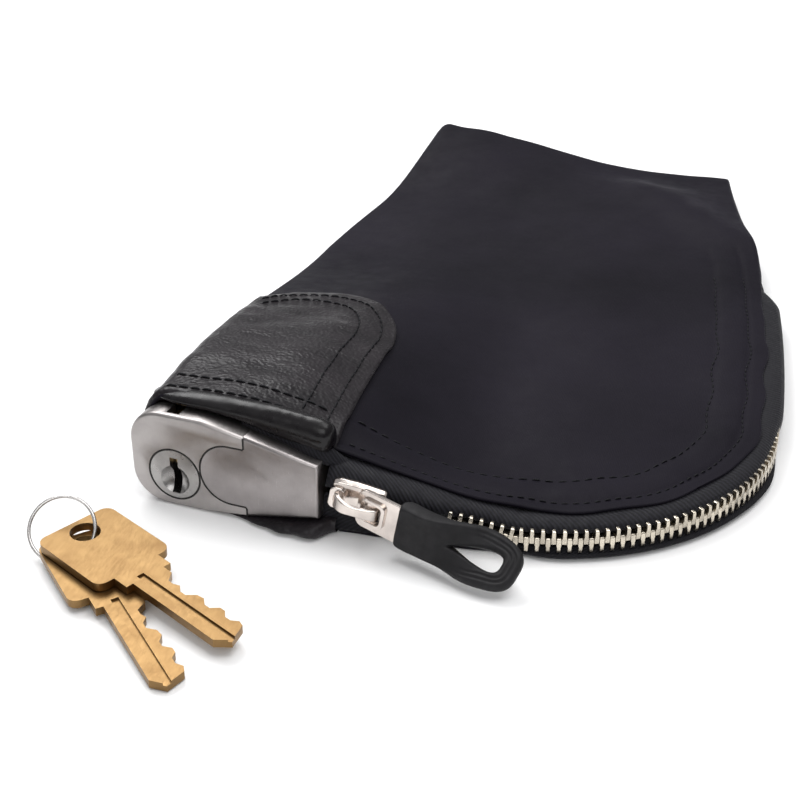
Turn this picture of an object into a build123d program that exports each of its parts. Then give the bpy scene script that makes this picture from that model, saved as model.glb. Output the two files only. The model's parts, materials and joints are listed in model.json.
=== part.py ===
"""Locking cash deposit bag: a flat fabric bag with a zipper along its front edge and
right side, a pin tumbler lock at the front left corner, and two keys on a wire ring.
Millimetres. +X runs along the front edge, +Y away from the front, +Z up. The origin is
on the resting surface, under the middle of the bag."""
from build123d import *
from math import asin, cos, degrees, pi, radians, sin, sqrt
import os

# ---------------------------------------------------------------- driving dimensions
BAG_LEFT = -75.7
BAG_FAR = 127.0
FABRIC = 1.2
LOCK_X = -65.0
LOCK_Y = -127.0
LOCK_TURN = -5.0
EDGE_HEIGHT = 10.3
LOCK_RISE = 18.4
RISE_REACH_X = 48.0
RISE_REACH_Y = 130.0
RISE_START_X = -27.0
RISE_START_Y = -106.0

# zipper line: straight slope, then a corner arc, then a long shallow arc
CHAIN_START = (-25.0, -127.0, 12.6)
CHAIN_HEADING = 4.1
CHAIN_SLOPE = 10.4
CHAIN_STRAIGHT = 45.0
CORNER_RADIUS = 61.0
SIDE_RADIUS = 703.0
CHAIN_LENGTH = 197.0
TAPE_END = 243.0
TOOTH_PITCH = 2.5
TOOTH_WIDTH = 1.08
TOOTH_DEPTH = 2.8
CHAIN_HALF = 3.8
MESH = 1.0
FIRST_TOOTH = 7.2
MOUTH_TEETH = 13
TAPE = 0.6
HEM_INSET = 4.0

# lock
FACE_HEIGHT = 25.6
FACE_LEFT = -11.8
FACE_RIGHT = 38.5
SEAM_X = 19.3
FLANGE_DEPTH = 6.0
BODY_DEPTH = 17.0
BODY_INSET = 2.6
PLUG_Z = 9.1
PLUG_R = 6.8
TONGUE_X = 15.3
TONGUE_Z = 12.0
TONGUE_R = 7.9
TONGUE_DEPTH = 10.0
RUNNING = 0.05
PIN_PITCH = 2.8
PIN_FIRST = 3.2
PIN_COUNT = 5
PIN_R = 1.2
SHAFT_R = 3.5

# slider and pull, in the frame of the chain's straight stretch
SLIDER_START = 1.6
SLIDER_LENGTH = 16.0
SLIDER_HALF_H = 5.0
SLIDER_HALF_D = 2.8
PULL_X = 9.6
PULL_Y = -4.3
PULL_SWING = -19.0
PULL_LENGTH = 41.0
SLEEVE_LENGTH = 29.0
SLEEVE_WIDTH = 9.4
SLEEVE_THICK = 4.4

# keys and ring
KEY_THICK = 2.1
BOW_LENGTH = 24.0
BOW_WIDTH = 20.6
BOW_CORNER = 2.6
HOLE_INSET = 5.0
KEY_TIP = 58.6
HOLE_R = 3.6
KEY_TILT = 1.9
RING_R = 7.9
WIRE_R = 0.5
RING_LEAN = 45.0
RING_CENTRE = (-82.7, -152.3)
RING_TURN = 12.0
KEY_REAR_Z = 2.95
KEY_FRONT_Z = 5.3
KEY_REAR_HEADING = -44.0
KEY_FRONT_HEADING = -27.0
KEY_REAR_OFFSET = (-0.3, 0.3)
KEY_FRONT_OFFSET = (-1.9, -0.6)


# ---------------------------------------------------------------- shared geometry
def lock_frame():
    """Lock frame: x along the face, y into the bag, z up, origin under the plug's axis."""
    return Location((LOCK_X, LOCK_Y, 0), (0, 0, LOCK_TURN))


def chain_plane():
    """Frame of the chain's straight stretch: x along it, y into the bag."""
    heading = radians(CHAIN_HEADING)
    slope = radians(CHAIN_SLOPE)
    along = Vector(cos(heading) * cos(slope), sin(heading) * cos(slope), -sin(slope))
    inward = Vector(-sin(heading), cos(heading), 0)
    return Plane(origin=CHAIN_START, x_dir=along, z_dir=along.cross(inward))


def corner_start():
    """Point where the straight stretch ends and the corner arc starts."""
    return chain_plane().from_local_coords(Vector(CHAIN_STRAIGHT, 0, 0))


def corner_centre():
    start = corner_start()
    heading = radians(CHAIN_HEADING)
    return (start.X - CORNER_RADIUS * sin(heading), start.Y + CORNER_RADIUS * cos(heading))


CORNER_X, CORNER_Y = corner_centre()
CHAIN_Z = corner_start().Z
SIDE_X = CORNER_X + CORNER_RADIUS
SIDE_CENTRE_X = SIDE_X - SIDE_RADIUS
CORNER_LENGTH = CORNER_RADIUS * radians(90 - CHAIN_HEADING)


def chain_location(s):
    """Location on the chain at length s: x along the chain, y into the bag, z up."""
    if s < CHAIN_STRAIGHT:
        return Location(chain_plane()) * Location((s, 0, 0))
    s -= CHAIN_STRAIGHT
    if s < CORNER_LENGTH:
        turn = CHAIN_HEADING + degrees(s / CORNER_RADIUS)
        x = CORNER_X + CORNER_RADIUS * sin(radians(turn))
        y = CORNER_Y - CORNER_RADIUS * cos(radians(turn))
        return Location((x, y, CHAIN_Z), (0, 0, turn))
    angle = (s - CORNER_LENGTH) / SIDE_RADIUS
    x = SIDE_CENTRE_X + SIDE_RADIUS * cos(angle)
    y = CORNER_Y + SIDE_RADIUS * sin(angle)
    return Location((x, y, CHAIN_Z), (0, 0, 90 + degrees(angle)))


def ease(u):
    """Smooth step down from 1 at u = 0 to 0 at u = 1."""
    u = min(max(u, 0.0), 1.0)
    return 0.5 * (1 + cos(pi * u))


def right_edge(y):
    """x of the upper panel's right edge at y."""
    if y < CORNER_Y:
        reach_y = CORNER_RADIUS - 1.6
        return CORNER_X + (CORNER_RADIUS - HEM_INSET) * sqrt(1 - ((y - CORNER_Y) / reach_y) ** 2)
    zip_end_y = 46.0
    if y < zip_end_y:
        return SIDE_X - HEM_INSET - (y - CORNER_Y) ** 2 / (2 * SIDE_RADIUS)
    share = (y - zip_end_y) / (BAG_FAR - zip_end_y)
    start = right_edge(zip_end_y - 0.001)
    return start + (48.4 - start) * share - 3.0 * sin(pi * share)


def hem_height(x):
    """Top of the upper panel where it meets the zipper."""
    drop = (x - CHAIN_START[0]) * sin(radians(CHAIN_SLOPE)) / cos(radians(CHAIN_SLOPE))
    return max(CHAIN_START[2] - drop + 7.4, EDGE_HEIGHT)


def top_height(x, y):
    """Top of the upper panel: low along its edges, raised over the lock."""
    rise = LOCK_RISE * ease((x - RISE_START_X) / RISE_REACH_X) * ease((y - RISE_START_Y) / RISE_REACH_Y)
    if x < RISE_START_X:
        return EDGE_HEIGHT + rise
    inset = max(CORNER_RADIUS - sqrt((x - CORNER_X) ** 2 + (y - CORNER_Y) ** 2), 0)
    if x < CORNER_X:
        inset = y - LOCK_Y
    return min(EDGE_HEIGHT + rise, hem_height(x) + 1.1 * inset)


def skin(y, grow, x_end):
    """Half a cross-section at y: up the left side, then across the top to x_end."""
    left = BAG_LEFT - grow
    crown = top_height(BAG_LEFT, y)
    bend = 0.3 * crown
    points = [(left, 0), (left, crown - bend + grow)]
    points.append((left + 0.3 * bend, crown - 0.3 * bend + grow))
    first = left + bend
    for i in range(4):
        x = first + (RISE_START_X - 0.2 - first) * i / 3
        points.append((x, top_height(x, y) + grow))
    spans = 8
    for i in range(1, spans + 1):
        x = RISE_START_X - 0.2 + (x_end - RISE_START_X + 0.2) * i / spans
        points.append((x, top_height(x, y) + grow))
    return points


def section(y, outer, inner, x_end):
    """Closed thin cross-section at y, between two offsets of the bag's skin."""
    points = skin(y, outer, x_end) + skin(y, inner, x_end)[::-1]
    wire = Wire.make_polygon([Vector(x, y, z) for x, z in points], close=True)
    return Face(wire)


def slab(points, y_from, y_to, radii=()):
    """Prism along y of an x, z outline. radii pairs an outline corner with a fillet radius."""
    face = make_face(Polyline(*points, close=True))
    for index, radius in radii:
        corner = face.vertices().sort_by_distance((points[index][0], points[index][1], 0))[0]
        face = fillet(corner, radius)
    plane = Plane(origin=(0, y_from, 0), x_dir=(1, 0, 0), z_dir=(0, -1, 0))
    return extrude(plane * face, amount=-(y_to - y_from))


def rod(x, z, radius, y_from, y_to):
    """Cylinder along y."""
    length = y_to - y_from
    return Pos(x, (y_from + y_to) / 2, z) * Rot(90, 0, 0) * Cylinder(radius, length)


def block(x_from, x_to, y_from, y_to, z_from, z_to):
    """Box between two corners."""
    box = Box(x_to - x_from, y_to - y_from, z_to - z_from)
    return Pos((x_from + x_to) / 2, (y_from + y_to) / 2, (z_from + z_to) / 2) * box


# ---------------------------------------------------------------- bag
SHELL_STATIONS = [-119.5, -113, -106, -94, -80, -64, -40, -10, 20, 45, 72, 100, BAG_FAR]


def upper_panel():
    shell = Solid.make_loft(
        [section(y, 0, -FABRIC, right_edge(y)).outer_wire() for y in SHELL_STATIONS], ruled=True)
    far_top = top_height(0, BAG_FAR) - 0.6
    far_wall = block(BAG_LEFT + 0.4, right_edge(BAG_FAR) - 0.2, BAG_FAR - FABRIC, BAG_FAR, 0, far_top)
    return Part() + shell + far_wall + side_wall() + hem_flap()


def side_wall():
    """Closed right side between the zipper's end and the far edge."""
    path = [(right_edge(y), y) for y in (48, 72, 100, BAG_FAR)]
    inner = [(x - FABRIC, y) for x, y in path]
    outline = make_face(Polyline(*path, *inner[::-1], close=True))
    return extrude(outline, amount=EDGE_HEIGHT - 0.6)


def hem_flap():
    """Front edge of the upper panel, over the zipper's straight stretch."""
    faces = []
    front = [(x, hem_height(x)) for x in (-24.4, -10.0, 4.0, 14.0)]
    back = [(x, top_height(x, -119.4)) for x in (-24.4, -10.0, 4.0, 27.0)]
    for y, row in ((-125.0, front), (-119.4, back)):
        points = row + [(x, z - FABRIC) for x, z in row[::-1]]
        faces.append(Wire.make_polygon([Vector(x, y, z) for x, z in points], close=True))
    return Solid.make_loft(faces, ruled=True)


def bag_outline(inset):
    """Plan of the lower panel, inset from the chain's centre line."""
    radius = CORNER_RADIUS - inset
    side = SIDE_RADIUS - inset
    sweep = degrees((46.0 - CORNER_Y) / SIDE_RADIUS)
    corner = CenterArc((CORNER_X, CORNER_Y), radius, CHAIN_HEADING - 90, 90 - CHAIN_HEADING)
    long_side = CenterArc((SIDE_CENTRE_X, CORNER_Y), side, 0, sweep)
    left = BAG_LEFT + FABRIC + 0.1
    far = BAG_FAR - FABRIC - 0.1
    back = [(right_edge(y) - FABRIC - 0.1, y) for y in (47.5, 72, 100, far)]
    front = [(left, far), (left, -119.3), (-45.0, -119.3), (-25.0, LOCK_Y + inset + 0.4)]
    closing = Polyline(long_side @ 1, *back, *front, corner @ 0)
    return make_face([corner, long_side] + closing.edges())


def patch_plan(grow):
    """Plan of the corner patches, with a rounded inner corner."""
    left, right = -90.0, RISE_START_X + grow
    front, far = -119.5, -37.0 + grow
    face = make_face(Polyline((left, front), (right, front), (right, far), (left, far), close=True))
    return fillet(face.vertices().sort_by_distance((right, far, 0))[0], 27.0)


def lower_panel():
    """Flat lower panel, stepped up over the lower corner patch."""
    flat = extrude(bag_outline(3.4), amount=FABRIC)
    flat -= Pos(0, 0, -1) * extrude(patch_plan(0.1), amount=4)
    raised = extrude(bag_outline(3.4), amount=FABRIC) & extrude(patch_plan(2.0), amount=4)
    return flat + Pos(0, 0, 0.85) * raised


def lower_corner_patch():
    return extrude(bag_outline(3.4), amount=0.8) & extrude(patch_plan(0), amount=4)


def upper_corner_patch():
    stations = [y for y in SHELL_STATIONS if y < -20]
    wires = [section(y, 1.25, 0.05, min(right_edge(y), 0)).outer_wire() for y in stations]
    cover = Solid.make_loft(wires, ruled=True)
    return cover & Pos(0, 0, 1.2) * extrude(patch_plan(0), amount=60)


def edge_band(inset_from, inset_to, z_from, z_to):
    """Flat band that follows the chain's corner and side arcs."""
    sweep = degrees((TAPE_END - CHAIN_STRAIGHT - CORNER_LENGTH) / SIDE_RADIUS)
    edges = []
    for inset in (inset_from, inset_to):
        radius = CORNER_RADIUS - inset
        corner = CenterArc((CORNER_X, CORNER_Y), radius, CHAIN_HEADING - 90, 90 - CHAIN_HEADING)
        side = CenterArc((SIDE_CENTRE_X, CORNER_Y), SIDE_RADIUS - inset, 0, sweep)
        edges.append((corner, side))
    (corner_a, side_a), (corner_b, side_b) = edges
    caps = [Line(corner_a @ 0, corner_b @ 0), Line(side_a @ 1, side_b @ 1)]
    face = make_face([corner_a, side_a, corner_b, side_b] + caps)
    return Pos(0, 0, z_from) * extrude(face, amount=z_to - z_from)


def zipper_tape_upper():
    wall = chain_plane().location * block(SLIDER_START, CHAIN_STRAIGHT - 0.3, -TAPE / 2, TAPE / 2,
                                          CHAIN_HALF + 0.05, 4.6)
    return [wall, edge_band(-0.5, 8.0, CHAIN_Z + CHAIN_HALF + 0.1, CHAIN_Z + CHAIN_HALF + 0.1 + TAPE)]


def zipper_tape_lower():
    wall = chain_plane().location * block(SLIDER_START, CHAIN_STRAIGHT - 0.3, -TAPE / 2, TAPE / 2,
                                          -12.0, -CHAIN_HALF - 0.05)
    above_table = block(-60, 60, -140, -100, 0.1, 40)
    return [wall & above_table, edge_band(TOOTH_DEPTH / 2 + 0.05, 9.0, FABRIC + 0.05, FABRIC + 0.05 + TAPE)]


def teeth(side, first, last):
    """Row of zipper teeth: side +1 hangs from the upper tape, -1 stands on the lower one."""
    row = []
    count = int((CHAIN_LENGTH - FIRST_TOOTH) / TOOTH_PITCH)
    for i in range(first, min(last, count)):
        s = FIRST_TOOTH + i * TOOTH_PITCH + (0 if side > 0 else TOOTH_PITCH / 2)
        middle = side * (CHAIN_HALF - MESH) / 2
        tooth = Box(TOOTH_WIDTH, TOOTH_DEPTH, CHAIN_HALF + MESH)
        row.append(chain_location(s) * Pos(0, 0, middle) * tooth)
    return row


def zipper_top_stops():
    """Pair of stops at the lock end of the chain, behind the lock's bolt."""
    stops = []
    for side in (1, -1):
        stop = block(-1.0, 1.0, -1.2, 1.2, 2.2, 3.8)
        turned = stop if side > 0 else mirror(stop, Plane.XY)
        stops.append(chain_plane().location * Pos(1.6, 0, 0) * turned)
    return stops


def zipper_bottom_stop():
    return chain_location(CHAIN_LENGTH + 1.2) * Box(2.6, 2.8, 6.8)


def zipper_end_tab():
    """Folded fabric tab over the zipper's far end."""
    tab = chain_location(CHAIN_LENGTH + 25.0) * Box(42.0, 2.4, 6.4)
    return tab - edge_band(-3, 12, CHAIN_Z + CHAIN_HALF, 12)


# ---------------------------------------------------------------- lock
def face_outline(inset):
    """Lock outline: round left end, tapering to the right."""
    top = FACE_HEIGHT - inset
    low = 0.1 + inset
    return [(FACE_LEFT + inset, low), (8.0, low), (SEAM_X, 1.2 + inset), (FACE_RIGHT - inset, 5.0 + inset),
            (FACE_RIGHT - inset, 19.7 - inset), (SEAM_X, 23.6 - inset), (8.0, top), (FACE_LEFT + inset, top)]


def lock_prism(inset, y_from, y_to):
    return slab(face_outline(inset), y_from, y_to, ((0, 8.6 - inset), (7, 8.6 - inset)))


def tongue(grow, y_from, y_to, x_end):
    """Round-ended tongue of the bolt, or with grow its pocket."""
    radius = TONGUE_R + grow
    bar = block(TONGUE_X, x_end, y_from, y_to, TONGUE_Z - radius, TONGUE_Z + radius)
    return rod(TONGUE_X, TONGUE_Z, radius, y_from, y_to) + bar


def pin_rods(radius, z_from, z_to):
    rods = []
    for i in range(PIN_COUNT):
        y = PIN_FIRST + i * PIN_PITCH
        rods.append(Pos(0, y, (z_from + z_to) / 2) * Cylinder(radius, z_to - z_from))
    return rods


COVER_Z = 22.2
SHEAR_Z = PLUG_Z + PLUG_R
RIVETS = [(9.8, 4.5), (-6.5, 19.6), (31.5, 9.0), (31.5, 15.4)]


def lock_housing():
    flange = lock_prism(0, 0, FLANGE_DEPTH) - block(SEAM_X, 60, -1, FLANGE_DEPTH + 1, -5, 40)
    body = lock_prism(BODY_INSET, FLANGE_DEPTH, BODY_DEPTH)
    body -= block(SEAM_X, 60, 0, 9.0, -5, 40)
    housing = flange + body
    housing -= tongue(RUNNING, -1, 9.0, 40)
    housing -= rod(TONGUE_X, TONGUE_Z, TONGUE_R + RUNNING, 0, 14.5)
    housing -= rod(0, PLUG_Z, PLUG_R + RUNNING, -1, BODY_DEPTH + 1)
    for bore in pin_rods(PIN_R + RUNNING, PLUG_Z, COVER_Z):
        housing -= bore
    housing -= block(-1.7, 1.7, 1.5, 16.2, COVER_Z, 40)
    for x, z in RIVETS:
        housing -= rod(x, z, 1.25, 11.0, BODY_DEPTH + 1)
    return housing


def lock_bolt():
    arm = lock_prism(0, 0, FLANGE_DEPTH) & block(SEAM_X + RUNNING, 60, -1, 20, -5, 40)
    bolt = arm + tongue(0, 0, 6.0, SEAM_X + 0.5)
    bolt += rod(TONGUE_X, TONGUE_Z, TONGUE_R, 0, TONGUE_DEPTH)
    return bolt - rod(TONGUE_X, TONGUE_Z, 3.4, 7.0, TONGUE_DEPTH + 1)


def bolt_spring():
    """Spring behind the bolt, as the tube it fills when it is pressed flat."""
    return rod(TONGUE_X, TONGUE_Z, 3.0, 7.1, 14.4) - rod(TONGUE_X, TONGUE_Z, 2.2, 7.0, 14.5)


def bolt_pad():
    """Felt strip behind the bolt's arm."""
    return slab([(24.0, 8.2), (33.0, 9.0), (33.0, 15.6), (24.0, 16.4)], 8.2, 8.95)


def lock_plug():
    plug = rod(0, PLUG_Z, PLUG_R, 0, BODY_DEPTH) + rod(0, PLUG_Z, SHAFT_R, BODY_DEPTH, 22.0)
    plug -= Pos(0, -3.4, PLUG_Z - 1.6) * Sphere(5.2)
    plug -= block(-1.1, 1.1, -1, 16.0, PLUG_Z - 5.4, PLUG_Z + 4.6)
    for bore in pin_rods(PIN_R, PLUG_Z, PLUG_Z + 8):
        plug -= bore
    return plug


def key_pins():
    limit = rod(0, PLUG_Z, PLUG_R - 0.01, 0, BODY_DEPTH)
    lengths = (4.6, 5.4, 4.2, 5.0, 4.8)
    pins = pin_rods(PIN_R - RUNNING, PLUG_Z, PLUG_Z + 8)
    kept = []
    for pin, length in zip(pins, lengths):
        kept.append(pin & limit & block(-3, 3, 0, 20, SHEAR_Z - length, SHEAR_Z))
    return kept


def driver_pins():
    rods = pin_rods(PIN_R, SHEAR_Z - 1, 19.0)
    return [pin - rod(0, PLUG_Z, PLUG_R + RUNNING, -1, BODY_DEPTH) for pin in rods]


def pin_springs():
    outer = pin_rods(1.1, 19.05, COVER_Z - 0.05)
    inner = pin_rods(0.7, 19.0, COVER_Z)
    return [tube - core for tube, core in zip(outer, inner)]


def pin_chamber_cover():
    return block(-1.65, 1.65, 1.6, 16.1, COVER_Z, COVER_Z + 0.8)


def lock_back_plate():
    plate = lock_prism(BODY_INSET + 0.2, BODY_DEPTH + 0.05, BODY_DEPTH + 1.2)
    plate -= rod(0, PLUG_Z, SHAFT_R + RUNNING, BODY_DEPTH - 1, BODY_DEPTH + 3)
    for x, z in RIVETS:
        plate -= rod(x, z, 1.25, BODY_DEPTH - 1, BODY_DEPTH + 3)
    return plate


def lock_rivets():
    head = BODY_DEPTH + 1.2
    return [rod(x, z, 1.2, 11.1, head) + rod(x, z, 2.1, head, head + 0.9) for x, z in RIVETS]


def lock_cam():
    hub = rod(0, PLUG_Z, 5.4, 19.2, 20.8)
    arm = block(-2.6, 2.6, 19.2, 20.8, PLUG_Z, PLUG_Z + 11.5)
    return hub + arm - rod(0, PLUG_Z, SHAFT_R + 0.02, 18, 21)


def plug_clip():
    ring = rod(0, PLUG_Z, 5.0, 20.85, 21.6) - rod(0, PLUG_Z, SHAFT_R + 0.02, 20, 22)
    return ring - block(-1.5, 1.5, 20, 22, PLUG_Z - 6, PLUG_Z)


# ---------------------------------------------------------------- slider and pull
def slider_body():
    end = SLIDER_START + SLIDER_LENGTH
    shell = block(SLIDER_START, end, -SLIDER_HALF_D, SLIDER_HALF_D, -SLIDER_HALF_H, SLIDER_HALF_H)
    channel = block(0, end + 1, -1.55, 1.55, -CHAIN_HALF - 0.15, CHAIN_HALF + 0.15)
    slot = block(0, end + 1, -0.45, 0.45, -8, 8)
    post = block(SLIDER_START, 5.6, -1.6, 1.6, -1.2, 1.2)
    return shell - channel - slot + post


def slider_bridge():
    outer = block(PULL_X - 5.2, PULL_X + 5.2, -6.7, -SLIDER_HALF_D, -1.9, 1.9)
    crowned = fillet(outer.edges().filter_by(Axis.Z).group_by(Axis.Y)[0], 2.2)
    return crowned - block(PULL_X - 2.6, PULL_X + 2.6, -5.6, -2, -3, 3)


def pull_frame():
    return Location(chain_plane()) * Location((PULL_X, PULL_Y, 0), (0, 0, PULL_SWING))


def pull_tab():
    """Metal tab: a cross pin under the bridge, two arms and a plate that the sleeve grips."""
    pin = Cylinder(0.95, 10.4)
    arms = block(-1.1, 9.0, -1.1, 1.1, -6.4, 6.4) - block(-3, 7.0, -2, 2, -4.4, 4.4)
    plate = block(8.0, PULL_LENGTH - 6, -0.8, 0.8, -3.0, 3.0)
    window = block(9.0, 12.4, -2, 2, -1.6, 1.6)
    return pin + arms + plate - window


def pull_sleeve():
    start = PULL_LENGTH - SLEEVE_LENGTH
    radius = SLEEVE_WIDTH / 2
    bar = block(start, PULL_LENGTH - radius, -SLEEVE_THICK / 2, SLEEVE_THICK / 2, -radius, radius)
    end = rod(PULL_LENGTH - radius, 0, radius, -SLEEVE_THICK / 2, SLEEVE_THICK / 2)
    pocket = block(start - 1, PULL_LENGTH - 5.9, -0.85, 0.85, -3.05, 3.05)
    return bar + end - pocket


# ---------------------------------------------------------------- keys and ring
def ring_plane():
    """Plane of the wire ring: x level, towards the keys; y up its lean."""
    turn = radians(RING_TURN)
    lean = radians(RING_LEAN)
    level = Vector(cos(turn), sin(turn), 0)
    across = Vector(-sin(turn), cos(turn), 0)
    upward = across * sin(lean) + Vector(0, 0, cos(lean))
    height = RING_R * cos(lean) + WIRE_R + 0.05
    return Plane(origin=(*RING_CENTRE, height), x_dir=level, z_dir=level.cross(upward))


def ring_crossing(z):
    """Point where the ring's lower right part is at height z."""
    plane = ring_plane()
    angle = asin((z - plane.origin.Z) / (RING_R * cos(radians(RING_LEAN))))
    return plane.from_local_coords(Vector(RING_R * cos(angle), RING_R * sin(angle), 0))


def key_ring():
    return ring_plane().location * Torus(RING_R, WIRE_R)


def key_frame(z, heading, offset):
    """Key frame: origin in its bow hole, x along the blade, z through its thickness.

    The wire passes through the hole off its middle, which the offset makes up for.
    """
    return Pos(*offset, 0) * Location(ring_crossing(z)) * Rot(0, 0, heading) * Rot(0, KEY_TILT, 0)


def key():
    """Flat key: oblong bow with a hole, shoulder, and a blade with cuts along one edge."""
    bow = Rectangle(BOW_LENGTH, BOW_WIDTH)
    bow = Pos(BOW_LENGTH / 2, 0, 0) * fillet(bow.vertices(), BOW_CORNER)
    shoulder = Pos(25.0, 0.2, 0) * Rectangle(7.0, 12.4)
    lower = [(24.0, -4.2), (KEY_TIP - 3.0, -4.2), (KEY_TIP, -1.4)]
    crests = [(56.6, 3.3), (55.0, 3.8), (53.4, 2.6), (51.6, 2.6), (50.2, 3.9), (48.6, 3.9), (47.0, 2.2),
              (45.4, 2.2), (43.6, 3.5), (41.6, 3.2), (39.8, 1.4), (38.0, 1.4), (36.4, 2.7), (34.8, 2.0),
              (33.2, 2.0), (31.4, 4.4)]
    blade = make_face(Polyline(*lower, *crests, (24.0, 4.4), close=True))
    outline = bow + shoulder + blade - Pos(HOLE_INSET, 0, 0) * Circle(HOLE_R)
    solid = Pos(0, 0, -KEY_THICK / 2) * extrude(outline, amount=KEY_THICK)
    groove = block(27.0, 70.0, -2.0, -0.2, KEY_THICK / 2 - 0.6, KEY_THICK)
    return Pos(-HOLE_INSET, 0, 0) * (solid - groove)


# ---------------------------------------------------------------- export
def all_nodes():
    lock = lock_frame()
    chain = Location(chain_plane())
    pull = pull_frame()
    in_lock = {
        "lock_housing": lock_housing(), "lock_bolt": lock_bolt(), "bolt_spring": bolt_spring(),
        "bolt_pad": bolt_pad(), "lock_plug": lock_plug(), "key_pins": key_pins(),
        "driver_pins": driver_pins(), "pin_springs": pin_springs(),
        "pin_chamber_cover": pin_chamber_cover(), "lock_back_plate": lock_back_plate(),
        "lock_rivets": lock_rivets(), "lock_cam": lock_cam(), "plug_clip": plug_clip(),
    }
    nodes = {name: placed(lock, shape) for name, shape in in_lock.items()}
    nodes["slider_body"] = placed(chain, slider_body())
    nodes["slider_bridge"] = placed(chain, slider_bridge())
    nodes["pull_tab"] = placed(pull, pull_tab())
    nodes["pull_sleeve"] = placed(pull, pull_sleeve())
    nodes["upper_panel"] = upper_panel()
    nodes["lower_panel"] = lower_panel()
    nodes["upper_corner_patch"] = upper_corner_patch()
    nodes["lower_corner_patch"] = lower_corner_patch()
    nodes["zipper_tape_upper"] = zipper_tape_upper()
    nodes["zipper_tape_lower"] = zipper_tape_lower()
    nodes["zipper_mouth_teeth_upper"] = teeth(1, 0, MOUTH_TEETH)
    nodes["zipper_mouth_teeth_lower"] = teeth(-1, 0, MOUTH_TEETH)
    nodes["zipper_teeth_upper"] = teeth(1, MOUTH_TEETH, 200)
    nodes["zipper_teeth_lower"] = teeth(-1, MOUTH_TEETH, 200)
    nodes["zipper_top_stops"] = zipper_top_stops()
    nodes["zipper_bottom_stop"] = zipper_bottom_stop()
    nodes["zipper_end_tab"] = zipper_end_tab()
    nodes["key_ring"] = key_ring()
    nodes["key_front"] = key_frame(KEY_FRONT_Z, KEY_FRONT_HEADING, KEY_FRONT_OFFSET) * key()
    nodes["key_rear"] = key_frame(KEY_REAR_Z, KEY_REAR_HEADING, KEY_REAR_OFFSET) * key()
    return nodes


def placed(location, shape):
    """Shape, or each shape of a list, moved to a location."""
    if isinstance(shape, list):
        return [location * piece for piece in shape]
    return location * shape


def main():
    os.makedirs("parts", exist_ok=True)
    for name, shape in all_nodes().items():
        if isinstance(shape, list):
            solids = [solid for piece in shape for solid in piece.solids()]
            shape = Compound(children=solids)
        export_step(shape, f"parts/{name}.step")


main()
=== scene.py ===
"""Looks of the locking cash bag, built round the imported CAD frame.

Lengths below are millimetres in the row frame, and become metres where a mesh is made.
Angles given as plain numbers are degrees.
"""

import json
import math

import bmesh
import bpy
import numpy as np
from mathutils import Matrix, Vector


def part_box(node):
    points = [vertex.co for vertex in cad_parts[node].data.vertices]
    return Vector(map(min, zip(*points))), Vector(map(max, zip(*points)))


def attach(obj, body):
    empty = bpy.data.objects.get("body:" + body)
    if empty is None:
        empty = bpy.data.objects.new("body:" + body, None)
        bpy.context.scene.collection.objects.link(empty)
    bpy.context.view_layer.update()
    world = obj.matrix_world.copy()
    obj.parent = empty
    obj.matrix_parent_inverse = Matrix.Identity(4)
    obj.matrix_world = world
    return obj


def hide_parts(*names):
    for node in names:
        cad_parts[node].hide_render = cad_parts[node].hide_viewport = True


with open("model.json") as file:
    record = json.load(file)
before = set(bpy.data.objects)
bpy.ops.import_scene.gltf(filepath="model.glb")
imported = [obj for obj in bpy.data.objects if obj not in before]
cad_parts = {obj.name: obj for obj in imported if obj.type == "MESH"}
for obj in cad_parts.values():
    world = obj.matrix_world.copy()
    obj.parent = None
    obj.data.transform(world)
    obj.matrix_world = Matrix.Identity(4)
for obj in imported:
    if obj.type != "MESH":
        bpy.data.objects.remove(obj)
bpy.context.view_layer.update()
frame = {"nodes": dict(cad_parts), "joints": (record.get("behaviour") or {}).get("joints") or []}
MM = 0.001
UP = np.array([0.0, 0.0, 1.0])
JOINTS = {joint["name"]: joint for joint in frame["joints"]}


# ---- frame measures
def box_mm(node):
    """Lowest and highest corner of a CAD node, in millimetres."""
    low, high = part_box(node)
    return np.array(low) / MM, np.array(high) / MM


PANEL_LOW, PANEL_HIGH = box_mm("upper_panel")
STOP_LOW, STOP_HIGH = box_mm("zipper_bottom_stop")
CHAIN_X = np.array(JOINTS["zipper_slide"]["axis"])
CHAIN_UP = -np.array(JOINTS["pull_swing"]["axis"])
CHAIN_IN = np.cross(CHAIN_UP, CHAIN_X)
PULL_PIVOT = np.array(JOINTS["pull_swing"]["pos_m"]) / MM
PIVOT_ALONG = 9.6
PIVOT_OUT = 4.3
CHAIN_START = PULL_PIVOT - PIVOT_ALONG * CHAIN_X + PIVOT_OUT * CHAIN_IN
CHAIN_STRAIGHT = 45.0
CORNER_RADIUS = 61.0
SIDE_RADIUS = 703.0
CHAIN_Z = (STOP_LOW[2] + STOP_HIGH[2]) / 2
HEADING = math.atan2(CHAIN_X[1], CHAIN_X[0])
CORNER_START = CHAIN_START + CHAIN_STRAIGHT * CHAIN_X
CORNER_X = CORNER_START[0] - CORNER_RADIUS * math.sin(HEADING)
CORNER_Y = CORNER_START[1] + CORNER_RADIUS * math.cos(HEADING)
CORNER_LENGTH = CORNER_RADIUS * (math.pi / 2 - HEADING)
SIDE_X = CORNER_X + CORNER_RADIUS
SIDE_CENTRE_X = SIDE_X - SIDE_RADIUS
CHAIN_LENGTH = 197.0

PLUG = np.array(JOINTS["plug_turn"]["pos_m"]) / MM
LOCK_IN = np.array(JOINTS["plug_turn"]["axis"])
LOCK_X = np.array([LOCK_IN[1], -LOCK_IN[0], 0.0])


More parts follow.
